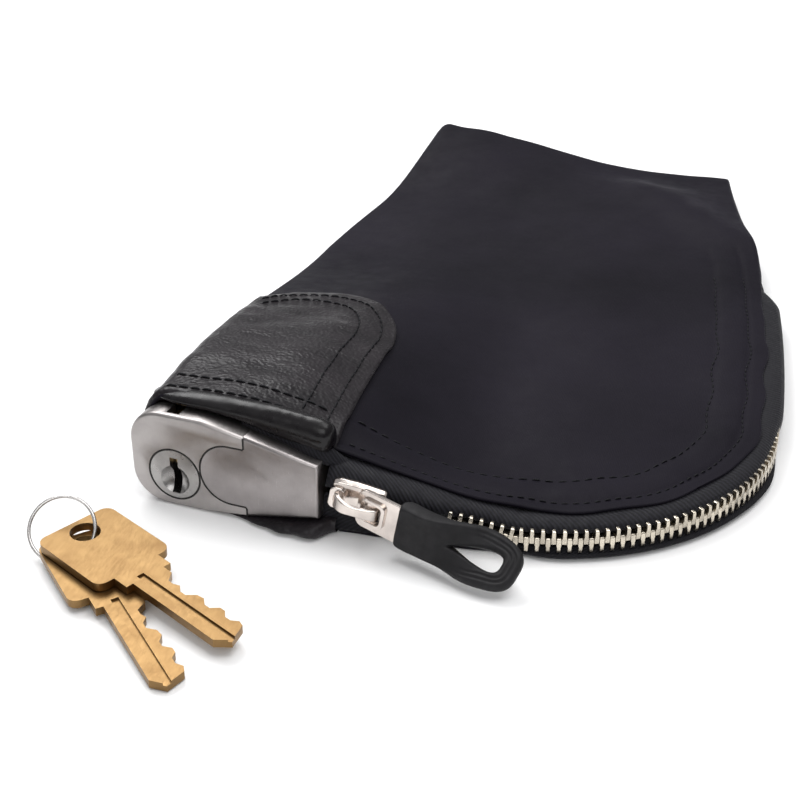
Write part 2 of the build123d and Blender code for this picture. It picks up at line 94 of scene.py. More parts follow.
def chain_frame(s):
    """Point, forward, inward and up vectors on the chain's centre line at length s."""
    if s < CHAIN_STRAIGHT:
        return CHAIN_START + s * CHAIN_X, CHAIN_X, CHAIN_IN, CHAIN_UP
    s -= CHAIN_STRAIGHT
    if s < CORNER_LENGTH:
        turn = HEADING + s / CORNER_RADIUS
        x = CORNER_X + CORNER_RADIUS * math.sin(turn)
        y = CORNER_Y - CORNER_RADIUS * math.cos(turn)
    else:
        angle = (s - CORNER_LENGTH) / SIDE_RADIUS
        turn = math.pi / 2 + angle
        x = SIDE_CENTRE_X + SIDE_RADIUS * math.cos(angle)
        y = CORNER_Y + SIDE_RADIUS * math.sin(angle)
    forward = np.array([math.cos(turn), math.sin(turn), 0.0])
    inward = np.array([-math.sin(turn), math.cos(turn), 0.0])
    return np.array([x, y, CHAIN_Z]), forward, inward, UP


def chain_point(s, inset, height):
    """Point beside the chain: inset into the bag, height above its centre line."""
    point, _, inward, up = chain_frame(s)
    return point + inward * inset + up * height


# ---- small maths
def smooth(u):
    """Smooth step from 0 at u = 0 to 1 at u = 1, for numbers and arrays."""
    u = np.clip(u, 0.0, 1.0)
    return u * u * (3 - 2 * u)


def fall(u):
    return 1 - smooth(u)


def unit(vector):
    return vector / np.linalg.norm(vector)


def heading(line, i):
    """Unit direction of a line at its point i."""
    return unit(line[min(i + 1, len(line) - 1)] - line[max(i - 1, 0)])


def across(forward):
    """Sideways and upward unit directions beside a forward one."""
    side = unit(np.cross(forward, UP))
    return side, np.cross(side, forward)


def circle(count):
    """Cosines and sines of even steps round a full turn."""
    return [(math.cos(a), math.sin(a)) for a in np.arange(count) * 2 * math.pi / count]


def squared(value, power):
    """Sine or cosine with its shape changed by a power, keeping its sign."""
    return math.copysign(abs(value) ** power, value)


def ripple(x, y, seed, size):
    """Soft repeatable waviness between about -1 and 1, with features of roughly that size."""
    rng = np.random.default_rng(seed)
    total = 0.0
    count = 7
    for _ in range(count):
        angle = rng.uniform(0, math.pi)
        length = size * rng.uniform(0.7, 1.9)
        phase = rng.uniform(0, 2 * math.pi)
        total = total + np.sin((x * math.cos(angle) + y * math.sin(angle)) * 2 * math.pi / length + phase)
    return total / math.sqrt(count * 2)


def spline(points, count):
    """Evenly spaced points on a smooth curve through the given ones."""
    knots = np.array(points, float)
    ends = np.vstack([2 * knots[0] - knots[1], knots, 2 * knots[-1] - knots[-2]])
    dense = []
    for a, b, c, d in zip(ends, ends[1:], ends[2:], ends[3:]):
        for t in np.linspace(0, 1, 24, endpoint=False):
            dense.append(0.5 * (2 * b + (c - a) * t + (2 * a - 5 * b + 4 * c - d) * t ** 2
                                + (3 * b - a - 3 * c + d) * t ** 3))
    dense.append(knots[-1])
    return resample(np.array(dense), np.linspace(0, 1, count))


def raised(plan, height):
    """Plan points, in a line or a grid, lifted onto the surface that a height function gives."""
    return np.concatenate([plan, height(plan[..., 0], plan[..., 1])[..., None]], axis=-1)


def resample(line, shares):
    """Points along a polyline, at the given shares of its length."""
    steps = np.linalg.norm(np.diff(line, axis=0), axis=1)
    along = np.concatenate([[0], np.cumsum(steps)])
    wanted = shares * along[-1]
    return np.stack([np.interp(wanted, along, line[:, k]) for k in range(line.shape[1])], 1)


# ---- mesh helpers
def add_object(name, data):
    obj = bpy.data.objects.new(name, data)
    bpy.context.scene.collection.objects.link(obj)
    return obj


def add_piece(name, mesh, material, replaces, body):
    """Object that rides on a body and takes the place of CAD nodes, if any are given."""
    mesh.materials.clear()
    mesh.materials.append(material)
    mesh.shade_smooth()
    obj = add_object(name, mesh)
    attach(obj, body)
    if replaces:
        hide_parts(*replaces)
    return obj


def piece(name, verts, faces, slot, material, replaces=(), body="bag"):
    """Piece made from points and faces in the row frame."""
    mesh = bpy.data.meshes.new(name)
    mesh.from_pydata([tuple(float(c) * MM for c in v) for v in verts], [], [tuple(f) for f in faces])
    mesh.validate()
    edit = bmesh.new()
    edit.from_mesh(mesh)
    bmesh.ops.recalc_face_normals(edit, faces=edit.faces)
    edit.to_mesh(mesh)
    edit.free()
    return add_piece(name, mesh, material, replaces, body)


def grid_faces(rows, cols, close_cols=False):
    """Quads of a rows x cols grid of points stored row by row."""
    faces = []
    for low in range(0, (rows - 1) * cols, cols):
        high = low + cols
        for c in range(cols if close_cols else cols - 1):
            d = (c + 1) % cols
            faces.append((low + c, low + d, high + d, high + c))
    return faces


def bridge_faces(around, first, second):
    """Quads between two closed rings of points, given where each ring starts."""
    return [(first + k, first + (k + 1) % around, second + (k + 1) % around, second + k)
            for k in range(around)]


def tube_faces(rows, around):
    """Faces of a closed section swept along rows of points, with both ends capped."""
    last = (rows - 1) * around
    caps = [tuple(range(around))[::-1], tuple(last + k for k in range(around))]
    return grid_faces(rows, around, close_cols=True) + caps


def joined(parts):
    """One list of verts and faces from several."""
    verts, faces = [], []
    for part_verts, part_faces in parts:
        start = len(verts)
        verts.extend(part_verts)
        faces.extend([tuple(start + i for i in face) for face in part_faces])
    return verts, faces


def add_bevel(obj, width, segments, angle):
    bevel = obj.modifiers.new("bevel", "BEVEL")
    bevel.width = width * MM
    bevel.segments = segments
    bevel.limit_method = "ANGLE"
    bevel.angle_limit = math.radians(angle)
    bevel.harden_normals = True
    return bevel


def add_solidify(obj, thickness, offset=-1.0):
    solid = obj.modifiers.new("thickness", "SOLIDIFY")
    solid.thickness = thickness * MM
    solid.offset = offset
    return solid


def add_uv(obj, columns):
    """UVs in metres for a grid: across a row, and along the rows."""
    layer = obj.data.uv_layers.new(name="weave")
    points = [v.co.copy() for v in obj.data.vertices]
    uv = {}
    for i in range(len(points)):
        row, col = divmod(i, columns)
        left = uv[i - 1][0] + (points[i] - points[i - 1]).length if col else 0.0
        below = uv[i - columns][1] + (points[i] - points[i - columns]).length if row else 0.0
        uv[i] = (left, below)
    for loop in obj.data.loops:
        layer.data[loop.index].uv = uv[loop.vertex_index]


# ---- materials
class Shader:
    """A node material under construction."""

    def __init__(self, name, color, roughness, specular=0.35, metallic=0.0):
        self.material = bpy.data.materials.new(name)
        self.material.use_nodes = True
        self.tree = self.material.node_tree
        self.surface = self.tree.nodes["Principled BSDF"]
        self.set("Base Color", (*color, 1))
        self.set("Roughness", roughness)
        self.set("Specular IOR Level", specular)
        self.set("Metallic", metallic)
        self.coords = self.tree.nodes.new("ShaderNodeTexCoord").outputs["Object"]
        self.normal = None

    def set(self, socket, value):
        self.surface.inputs[socket].default_value = value

    def link(self, output, socket):
        self.tree.links.new(output, socket)

    def add(self, kind, inputs, output, **settings):
        """Output of a new node; each input is a plain value or another node's output."""
        node = self.tree.nodes.new("ShaderNode" + kind)
        for name, value in settings.items():
            setattr(node, name, value)
        for name, value in inputs.items():
            if isinstance(value, bpy.types.NodeSocket):
                self.link(value, node.inputs[name])
            else:
                node.inputs[name].default_value = value
        return node.outputs[output]

    def scaled(self, scale, turn=(0, 0, 0)):
        return self.add("Mapping", {"Scale": scale, "Rotation": turn, "Vector": self.coords}, "Vector")

    def noise(self, scale, detail, vector=None, rough=0.55):
        inputs = {"Scale": scale, "Detail": detail, "Roughness": rough, "Vector": vector or self.coords}
        return self.add("TexNoise", inputs, "Fac")

    def cells(self, scale, feature, vector=None):
        inputs = {"Scale": scale, "Vector": vector or self.coords}
        return self.add("TexVoronoi", inputs, "Distance", feature=feature)

    def bands(self, period, direction, distortion=0.0):
        """Stripes that repeat every period millimetres."""
        inputs = {"Scale": 2 * math.pi / (20 * period * MM), "Distortion": distortion, "Vector": self.coords}
        return self.add("TexWave", inputs, "Fac", bands_direction=direction)

    def product(self, a, b):
        return self.add("Math", {0: a, 1: b}, "Value", operation="MULTIPLY")

    def color_from(self, value, first, second, low=0.3, high=0.7):
        """Base colour that goes from first to second as the value goes from low to high."""
        node = self.tree.nodes.new("ShaderNodeValToRGB")
        for element, position, color in zip(node.color_ramp.elements, (low, high), (first, second)):
            element.position = position
            element.color = (*color, 1)
        self.link(value, node.inputs["Fac"])
        self.link(node.outputs["Color"], self.surface.inputs["Base Color"])

    def roughness_from(self, value, low, high):
        inputs = {"Value": value, "From Min": 0.3, "From Max": 0.7, "To Min": low, "To Max": high}
        self.link(self.add("MapRange", inputs, "Result"), self.surface.inputs["Roughness"])

    def bump(self, height, strength, depth):
        """Adds a bump whose full height is depth millimetres."""
        inputs = {"Strength": strength, "Distance": depth * MM, "Height": height}
        if self.normal:
            inputs["Normal"] = self.normal
        self.normal = self.add("Bump", inputs, "Normal")
        self.link(self.normal, self.surface.inputs["Normal"])


def nylon_material():
    """Near-black woven nylon with a soft sheen, and broad lighter patches painted into its colour as soft
    highlights.
    """
    m = Shader("nylon", (0.016, 0.015, 0.022), 0.55, 0.085)
    # Painted highlights: broad noise patches lighten the base colour where the fabric shows soft highlights.
    painted_highlight_patches = m.noise(13, 4)
    m.color_from(painted_highlight_patches, (0.0036, 0.0029, 0.0054), (0.012, 0.01, 0.016))
    m.roughness_from(m.noise(160, 4), 0.48, 0.62)
    m.set("Sheen Weight", 0.035)
    m.set("Sheen Roughness", 0.35)
    m.set("Sheen Tint", (0.7, 0.7, 0.9, 1))
    weave = m.product(m.bands(0.42, "X"), m.bands(0.42, "Y"))
    m.bump(weave, 0.5, 0.05)
    m.bump(m.noise(900, 2), 0.3, 0.05)
    m.bump(m.noise(60, 3), 0.45, 0.7)
    m.bump(m.noise(17, 2), 0.5, 1.6)
    return m.material


def tape_material():
    """Ribbed woven zipper tape."""
    m = Shader("tape", (0.013, 0.012, 0.017), 0.62, 0.2)
    m.coords = m.tree.nodes["Texture Coordinate"].outputs["UV"]
    ribs = m.bands(0.62, "DIAGONAL", distortion=0.4)
    m.color_from(ribs, (0.0035, 0.0034, 0.005), (0.0105, 0.01, 0.0145), 0.2, 0.9)
    m.roughness_from(m.noise(400, 3), 0.5, 0.75)
    m.set("Sheen Weight", 0.04)
    m.bump(ribs, 0.6, 0.16)
    m.bump(m.noise(1500, 2), 0.5, 0.08)
    return m.material


def leather_material(name="leather", gloss=0.38, grain_depth=0.22, crease_depth=0.8, specular=0.27, tone=1.0):
    """Dark grained leather with creases and lighter worn high spots."""
    m = Shader(name, (0.035, 0.032, 0.035), gloss, specular)
    grain = m.cells(1100, "SMOOTH_F1")
    creases = m.noise(55, 5, m.scaled((1.0, 2.4, 1.0), (0, 0, 0.5)), 0.62)
    dark, worn = np.array((0.0066, 0.0052, 0.0066)) * tone, np.array((0.023, 0.019, 0.0222)) * tone
    m.color_from(creases, tuple(dark), tuple(worn), 0.33, 0.78)
    m.roughness_from(m.noise(240, 4), gloss - 0.1, gloss + 0.12)
    m.bump(grain, 0.9, grain_depth)
    m.bump(m.cells(260, "DISTANCE_TO_EDGE", m.scaled((1.0, 1.6, 1.0), (0, 0, 0.4))), 0.35, grain_depth)
    m.bump(creases, 0.6, crease_depth)
    m.bump(m.noise(700, 3), 0.35, 0.1)
    return m.material


def thread_material():
    m = Shader("thread", (0.01, 0.009, 0.012), 0.6, 0.2)
    m.color_from(m.noise(2500, 2), (0.002, 0.002, 0.003), (0.008, 0.008, 0.011))
    m.bump(m.bands(0.25, "DIAGONAL"), 0.6, 0.06)
    return m.material


def metal_material(name, color, dark, roughness, scratch=(1.0, 1.0, 14.0)):
    """Metal with fine directional scratches and slightly duller patches."""
    m = Shader(name, color, roughness, metallic=1.0)
    m.color_from(m.noise(180, 5), dark, color, 0.25, 0.62)
    streaks = m.noise(420, 5, m.scaled(scratch), 0.7)
    m.roughness_from(streaks, roughness - 0.08, roughness + 0.125)
    m.bump(streaks, 0.22, 0.03)
    m.bump(m.noise(90, 3), 0.12, 0.12)
    return m.material


def rubber_material():
    m = Shader("sleeve_rubber", (0.014, 0.014, 0.015), 0.62, 0.3)
    m.color_from(m.noise(120, 4), (0.0065, 0.006, 0.007), (0.0105, 0.0098, 0.0115))
    m.roughness_from(m.noise(500, 3), 0.52, 0.72)
    m.bump(m.noise(1800, 3), 0.35, 0.05)
    return m.material


def felt_material():
    m = Shader("felt", (0.008, 0.008, 0.008), 0.95)
    m.color_from(m.noise(1500, 4), (0.004, 0.004, 0.004), (0.016, 0.016, 0.016))
    m.set("Sheen Weight", 0.6)
    m.bump(m.noise(2200, 4), 0.9, 0.15)
    return m.material


def groove_material():
    """Grime in the lock's joints."""
    m = Shader("groove", (0.012, 0.011, 0.01), 0.7)
    m.color_from(m.noise(900, 3), (0.006, 0.006, 0.006), (0.03, 0.028, 0.026))
    m.bump(m.noise(2000, 2), 0.3, 0.02)
    return m.material


ACROSS = (14.0, 1.0, 1.0)
NYLON = nylon_material()
TAPE = tape_material()
LEATHER = leather_material()
ROLL_LEATHER = leather_material("leather_roll", 0.29, 0.015, 0.12, 0.30, 0.45)
THREAD = thread_material()
TEETH_METAL = metal_material("teeth_metal", (0.66, 0.6, 0.5), (0.4, 0.36, 0.3), 0.27)
SLIDER_METAL = metal_material("slider_metal", (0.74, 0.67, 0.62), (0.5, 0.45, 0.42), 0.15)
LOCK_METAL = metal_material("lock_metal", (0.4, 0.376, 0.368), (0.33, 0.31, 0.303), 0.36, ACROSS)
BOLT_METAL = metal_material("bolt_metal", (0.35, 0.325, 0.322), (0.29, 0.27, 0.266), 0.34, ACROSS)
PLUG_METAL = metal_material("plug_metal", (0.4, 0.39, 0.38), (0.28, 0.27, 0.265), 0.3, (1.0, 1.0, 1.0))
INNER_METAL = metal_material("inner_metal", (0.5, 0.5, 0.5), (0.38, 0.38, 0.38), 0.42)
BRASS = metal_material("brass", (0.8, 0.58, 0.27), (0.55, 0.38, 0.16), 0.34)
KEY_BRASS = metal_material("key_brass", (0.25, 0.155, 0.066), (0.188, 0.11, 0.045), 0.36, (8.0, 1.0, 1.0))
WIRE = metal_material("ring_wire", (0.62, 0.6, 0.585), (0.45, 0.44, 0.43), 0.24)
RUBBER = rubber_material()
FELT = felt_material()
GROOVE = groove_material()


# ---- bag surface
LEFT = PANEL_LOW[0]
FAR = PANEL_HIGH[1] - 0.6
FRONT = -121.4
BASE = 9.4
RISE = 18.6
HEM_GAP = 4.6
HEM_LIFT = 5.3
CURL = 10.6
RIDGE = 2.8


def left_x(y):
    """Left fold: straight, drawn in towards the raised far corner."""
    return LEFT + 0.4 + 11.0 * (0.45 * smooth((y - 15) / 90) + 0.55 * np.clip((y - 20) / 106, 0, 1))


def curl(x, y):
    """Lift of the far left corner off the table."""
    return CURL * smooth((14 - x) / 66) * smooth((y - 62) / 66)


def underside(x, y):
    """Height of the bag's underside, which rises a little less than the top does."""
    return 0.92 * curl(x, y)


def hem_z(x):
    """Height of the hem edge above the table."""
    slope = CHAIN_X[2] / CHAIN_X[0]
    chain = CHAIN_START[2] + (x - CHAIN_START[0]) * slope
    lift = HEM_LIFT + 1.7 * fall((x + 25) / 38)
    return np.maximum(chain + lift, BASE - 0.4)


def hem_line(first, last, count, gap):
    """Plan of the hem edge between two lengths along the chain."""
    points = []
    for s in np.linspace(first, last, count):
        wave = 0.55 * math.sin(s / 6.1) * math.sin(s / 23.0) + 0.35 * math.sin(s / 3.7 + 1.0)
        points.append(chain_point(s, gap + wave, 0)[:2])
    return np.array(points)


CORNER_MIDDLE = CHAIN_STRAIGHT + 0.55 * CORNER_LENGTH
ZIP_END = CHAIN_LENGTH + 26.0
TAPE_START = -0.6
TAPE_END = CHAIN_LENGTH + 45.0
TAPE_STEP = 1.6
TAPE_THICK = 0.55
CLOSED_SIDE = [(65.2, 40.0), (63.0, 53.5), (60.6, 63.0), (58.0, 73.0), (54.6, 90.0), (52.2, 103.0),
               (48.6, FAR)]


def front_curve():
    over_lock = spline([(LEFT + 9, FRONT), (-58, FRONT - 0.2), (-40, FRONT - 0.5), (-27.5, FRONT - 1.2)], 24)
    return np.vstack([over_lock, hem_line(2.0, CORNER_MIDDLE, 90, HEM_GAP)])


def right_curve(gap):
    """Plan of the right edge: beside the zipper, then along the closed seam."""
    return np.vstack([hem_line(CORNER_MIDDLE, ZIP_END - 4, 110, gap), spline(CLOSED_SIDE, 40)])


def fold_radius(x, y):
    return 0.25 * top_height(x, y)


def left_curve(count):
    y = np.linspace(FRONT, FAR, count)
    edge = left_x(y)
    return np.stack([edge + fold_radius(edge, y), y], 1)


def far_curve(count):
    u = np.linspace(0, 1, count)
    line = np.linspace(left_curve(2)[-1], CLOSED_SIDE[-1], count)
    line[:, 1] += np.sin(np.pi * u)
    return line


def hem_inset(x, y):
    """Distance in from the zipper line, positive inside the bag."""
    straight = (y - CORNER_START[1]) * math.cos(HEADING) - (x - CORNER_START[0]) * math.sin(HEADING)
    corner = CORNER_RADIUS - np.hypot(x - CORNER_X, y - CORNER_Y)
    side = SIDE_X - x - (y - CORNER_Y) ** 2 / (2 * SIDE_RADIUS)
    inset = np.where(x < CORNER_START[0], straight, np.where(y < CORNER_Y, corner, side))
    past_zip = smooth((y - 42) / 14)
    closed = np.interp(y, [c[1] for c in CLOSED_SIDE], [c[0] for c in CLOSED_SIDE]) - x
    return inset * (1 - past_zip) + (closed + 2) * past_zip


def top_height(x, y):
    """Top surface without its fine detail."""
    rise = RISE * fall((x + 48) / 58) * fall((y + 104) / 132)
    belly = 2.2 * fall(np.abs(x + 12) / 75) * fall(np.abs(y - 5) / 110)
    far_drop = 1.6 * smooth((y - 92) / 36)
    ridge = RIDGE * np.exp(-(((x - 10) * 0.73 + (y - 112) * 0.68) / 11) ** 2)
    ridge *= smooth((x + 5) / 30) * fall((y - 100) / 24)
    ear = 1.6 * np.exp(-((x - LEFT - 13) / 7) ** 2 - ((y - FAR) / 8) ** 2)
    height = BASE + rise + belly - far_drop + curl(x, y) + ridge + ear
    edge = fall(hem_inset(x, y) / 22) * smooth((x + 34) / 12) * fall((y - 40) / 20)
    return height * (1 - edge) + hem_z(x) * edge


STITCH_GAPS = (HEM_GAP + 3.6, HEM_GAP + 12.8)
HEM_STITCH_LENGTHS = (1.9, 2.5)
HEM_THICK = 0.45
FURROW = 0.5


def surface_z(x, y):
    """Top surface with hem thickness, stitch furrows and soft waviness."""
    z = top_height(x, y)
    inset = hem_inset(x, y)
    sewn = smooth((x + 30) / 6) * fall((y - 46) / 9)
    hem = fall((inset - STITCH_GAPS[1] - 0.2) / 1.2) * sewn
    z += HEM_THICK * hem
    for gap in STITCH_GAPS:
        z -= FURROW * np.exp(-((inset - gap) / 0.9) ** 2) * sewn
    puff = fall(np.abs(inset - HEM_GAP - 8.2) / 4.5) * sewn
    z += 0.5 * puff * (0.6 + 0.4 * ripple(x, y, 5, 17))
    calm = smooth(inset / 18) * smooth((x - left_x(y) - 4) / 26)
    z += calm * (0.75 * ripple(x, y, 11, 62) + 0.22 * ripple(x, y, 12, 24))
    return z


def clustered(count_coarse, count_fine, fine_share, at_end):
    """Shares from 0 to 1 with finer steps near one end."""
    coarse = np.linspace(0, 1 - fine_share, count_coarse, endpoint=False)
    fine = np.linspace(1 - fine_share, 1, count_fine)
    shares = np.concatenate([coarse, fine])
    return shares if at_end else 1 - shares[::-1]


def coons(front, far, left, right, us, vs):
    """Plan points of a four-sided patch at shares us across and vs along, shape rows x cols x 2."""
    u, v = us[None, :, None], vs[:, None, None]
    ruled = (1 - v) * resample(front, us)[None] + v * resample(far, us)[None]
    ruled += (1 - u) * resample(left, vs)[:, None] + u * resample(right, vs)[:, None]
    corners = ((1 - u) * (1 - v) * front[0] + u * (1 - v) * front[-1]
               + (1 - u) * v * far[0] + u * v * far[-1])
    return ruled - corners


FABRIC = 0.8
WALL_STEPS = 12
WALL_TUCK = 3.2


def left_wall(point, grow):
    """Points from a top point at the left edge, round the fold and down to the table."""
    x, y, z = point
    edge = left_x(y) - grow
    lift = underside(edge, y)
    middle = lift + 0.45 * (z - lift)
    bend = WALL_STEPS * 0.55
    points = []
    for i in range(1, WALL_STEPS + 1):
        if i <= bend:
            angle = math.pi / 2 * i / bend
            points.append((x - (x - edge) * math.sin(angle), y, middle + (z - middle) * math.cos(angle)))
        else:
            angle = math.pi / 2 * (i - bend) / (WALL_STEPS - bend)
            down = (middle - lift - 0.4) * math.sin(angle)
            points.append((edge + WALL_TUCK * (1 - math.cos(angle)), y, middle - down))
    return points


def walled_rows(plan, height, grow):
    """Rows of points over a plan, each coming up the left wall and then crossing the raised top."""
    return [left_wall(tops[0], grow)[::-1] + list(tops) for tops in raised(plan, height)]


def build_upper_panel():
    """Upper fabric, with the left wall and the edges turned down to the zipper, closed seam and far end."""
    us = clustered(46, 26, 0.16, True)
    vs = clustered(84, 26, 0.11, False)
    plan = coons(front_curve(), far_curve(80), left_curve(120), right_curve(HEM_GAP - 0.6), us, vs)
    rows = walled_rows(plan, surface_z, 0.0)
    for row in rows:
        edge, before = row[-1], row[-2]
        out = unit((edge - before) * (1, 1, 0))
        closed = smooth((edge[1] - 27) / 8)
        low = underside(edge[0], edge[1]) + 0.5
        drop = (edge[2] - low) * closed + 1.5 * (1 - closed)
        for t in np.arange(1, 7) / 6:
            bulge = (0.9 + 0.6 * closed) * math.sin(math.pi * min(t, 0.85))
            row.append(edge + out * bulge - UP * drop * (1 - math.cos(math.pi / 2 * t)))
    cols = len(rows[0])
    last = np.array(rows[-1])
    along = np.arange(cols)
    corner = 0.15 + 0.85 * smooth((along - 8) / 10) * smooth((cols - 5 - along) / 10)
    low = underside(last[:, 0], last[:, 1]) + 0.5
    for t in np.arange(1, 6) / 5:
        extra = last.copy()
        extra[:, 1] += 1.4 * math.sin(math.pi * min(t, 0.8)) * corner
        extra[:, 2] -= np.maximum(last[:, 2] - low, 0) * (1 - math.cos(math.pi / 2 * t))
        rows.append(extra)
    verts = [p for row in rows for p in row]
    obj = piece("upper_fabric", verts, grid_faces(len(rows), cols), "nylon", NYLON, ["upper_panel"])
    add_solidify(obj, FABRIC).thickness_clamp = 1.0


LOWER_FRONT = -119.4


def build_lower_panel():
    """Lower fabric, flat on the table, curled with the far left corner."""
    us = np.linspace(0, 1, 40)
    vs = np.linspace(0, 1, 90)
    under_lock = spline([(LEFT + 3, LOWER_FRONT), (-50, -119.6), (-27, -123.0)], 24)
    front = np.vstack([under_lock, hem_line(2.0, CORNER_MIDDLE, 90, -0.4)])
    right = right_curve(-0.3)
    ys = np.linspace(LOWER_FRONT, FAR, 120)
    left = np.stack([left_x(ys) + 2.6, ys], 1)
    far = resample(np.array([left[-1], right[-1]]), us)
    plan = coons(front, far, left, right, us, vs)
    verts = [(x, y, 0.15 + underside(x, y)) for row in plan for x, y in row]
    obj = piece("lower_fabric", verts, grid_faces(len(vs), len(us)), "nylon", NYLON, ["lower_panel"])
    add_solidify(obj, FABRIC, 1.0)


# ---- stitching
def stitches(name, line, length, gap=0.75, thick=0.42, lift=0.12):
    """Row of thread stitches along a polyline of surface points."""
    total = np.linalg.norm(np.diff(line, axis=0), axis=1).sum()
    count = int(total / (length + gap))
    parts = []
    for i in range(count):
        shares = (np.array([0, 0.18, 0.5, 0.82, 1.0]) * length + i * (length + gap)) / total
        points = resample(line, shares)
        points[:, 2] += np.array([-0.35, 0.0, 0.12, 0.0, -0.35]) + lift
        side, up = across(unit(points[-1] - points[0]))
        verts = []
        for point, size in zip(points, (0.45, 0.95, 1.0, 0.95, 0.45)):
            for c, d in circle(6):
                verts.append(point + side * c * thick / 2 * size + up * d * thick / 2 * size)
        parts.append((verts, tube_faces(5, 6)))
    piece(name, *joined(parts), "nylon", THREAD)


def build_hem_stitches():
    names = ("hem_stitch_outer", "hem_stitch_inner")
    for name, gap, length in zip(names, STITCH_GAPS, HEM_STITCH_LENGTHS):
        stitches(name, raised(hem_line(3.0, ZIP_END + 10, 260, gap), surface_z), length)


# ---- zipper
TOOTH_PITCH = 2.5
FIRST_TOOTH = 7.2
MOUTH_TEETH = 13
TOOTH_BEVEL = 0.13
TOOTH_SHAPE = [(3.0, 0.34, 0.95), (2.8, 0.47, 1.32), (1.3, 0.47, 1.38), (0.95, 0.60, 1.30),
               (-0.65, 0.60, 1.18), (-0.9, 0.46, 0.98)]


def tooth(s, side):
    """One tooth: side +1 hangs from the upper tape, -1 stands on the lower one."""
    point, forward, inward, up = chain_frame(s)
    verts = [point + forward * a * half_width + inward * b * half_depth + up * z * side
             for z, half_width, half_depth in TOOTH_SHAPE
             for a, b in ((-1, -1), (1, -1), (1, 1), (-1, 1))]
    return verts, tube_faces(len(TOOTH_SHAPE), 4)


def build_teeth():
    count = int((CHAIN_LENGTH - FIRST_TOOTH) / TOOTH_PITCH)
    for side, word in ((1, "upper"), (-1, "lower")):
        for first, last, kind in ((0, MOUTH_TEETH, "mouth_"), (MOUTH_TEETH, count, "")):
            shift = 0 if side > 0 else TOOTH_PITCH / 2
            parts = [tooth(FIRST_TOOTH + i * TOOTH_PITCH + shift, side) for i in range(first, last)]
            obj = piece(f"{kind}teeth_{word}_detail", *joined(parts), "teeth_metal", TEETH_METAL,
                        [f"zipper_{kind}teeth_{word}"])
            add_bevel(obj, TOOTH_BEVEL, 2, 25)


def tape_ribbon(name, node, profile):
    """Tape swept along the chain; profile(s) gives (inset, height above chain) points."""
    lengths = np.arange(TAPE_START, TAPE_END, TAPE_STEP)
    verts = [chain_point(s, inset, height) for s in lengths for inset, height in profile(s)]
    cols = len(profile(0.0))
    obj = piece(name, verts, grid_faces(len(lengths), cols), "tape", TAPE, [node])
    add_uv(obj, cols)
    add_solidify(obj, TAPE_THICK, 0.0)


def tape_end_inset(s):
    """How far both tapes are drawn in where they run under the closed seam."""
    return 7.5 * smooth((s - 212) / 28)


def upper_tape_profile(s):
    point = chain_frame(s)[0]
    hem = hem_z(point[0]) if s < CHAIN_STRAIGHT + 20 else BASE - 0.2
    top = min(max(hem - point[2] - 0.7, 4.4), 6.4)
    lip = 1.9 * smooth((s - 128) / 22) + 1.6 * fall((s - 26) / 8)
    drawn = tape_end_inset(s)
    return [(drawn - lip, 1.9 - 0.5 * lip), (drawn + 0.1 - lip, 3.0 - 0.1 * lip),
            (drawn + 0.7 - 0.8 * lip, top - 0.9), (drawn + 2.4 - 0.2 * lip, top - 0.3),
            (HEM_GAP + 0.6 * drawn, top - 0.5), (HEM_GAP + 6, top - 2.0)]


def lower_tape_profile(s):
    bottom = -(chain_frame(s)[0][2] - 0.6)
    middle = (bottom - 3.2) / 2
    lip = 1.2 * smooth((s - 43) / 14) * fall((s - 118) / 20)
    drawn = tape_end_inset(s)
    slack = 0.15 + 0.85 * smooth((s - 41) / 12)
    return [(drawn, -1.9), (drawn - 0.08, -2.9), (drawn - 0.45 * slack - 0.6 * lip, middle),
            (drawn - 0.9 * slack - 1.4 * lip, bottom + 0.7), (drawn - 0.5 * slack - 1.2 * lip, bottom + 0.1),
            (drawn + 1.2, bottom)]


def build_tapes():
    tape_ribbon("upper_tape_weave", "zipper_tape_upper", upper_tape_profile)
    tape_ribbon("lower_tape_weave", "zipper_tape_lower", lower_tape_profile)


# ---- leather patches
HIDE = 1.0
PATCH_RIGHT = -26.0
PATCH_FAR = -38.0
PATCH_CORNER = (25.0, 34.0)
PATCH_THREAD = (2.8, 0.3, 0.5, 0.2)


def patch_edges(shrink=0.0):
    """Plan of the patch's right edge and far edge, meeting in the middle of the rounded corner."""
    right = PATCH_RIGHT - shrink
    far = PATCH_FAR - shrink
    wide, long = PATCH_CORNER[0] - shrink, PATCH_CORNER[1] - shrink
    cx, cy = right - wide, far - long
    arc = [(cx + wide * math.cos(a), cy + long * math.sin(a)) for a in np.linspace(0, math.pi / 2, 41)]
    lower = spline([(right + 1.4, FRONT + 0.2), (right + 0.9, -104.0), (right + 0.3, -88.0), arc[0]], 40)
    lower = np.vstack([lower[:-1], arc[:21]])
    end_y = far - 12.0
    edge = left_x(end_y)
    upper = arc[20:] + [(LEFT + 21, far - 0.3), (LEFT + 16.5, far - 1.3), (LEFT + 12.5, far - 3.4),
                        (LEFT + 9.2, far - 6.8), (edge + fold_radius(edge, end_y), end_y)]
    return lower, np.array(upper[::-1])


def patch_height(x, y):
    z = surface_z(x, y) + HIDE
    return z + 0.22 * ripple(x, y, 21, 16) + 0.12 * ripple(x, y, 22, 7)


def tucked_rows(row):
    """Front edge of the patch, turned down behind the roll; the side wall's points stay on the wall."""
    row = np.array(row)
    share = smooth((row[:, 2] - 6.0) / 14.0)
    rows = []
    for forward, drop in ((0.9, 2.6), (0.7, 0.9)):
        edge = row.copy()
        edge[:, 1] -= forward * share
        edge[:, 2] -= drop * share
        rows.append(edge)
    return rows


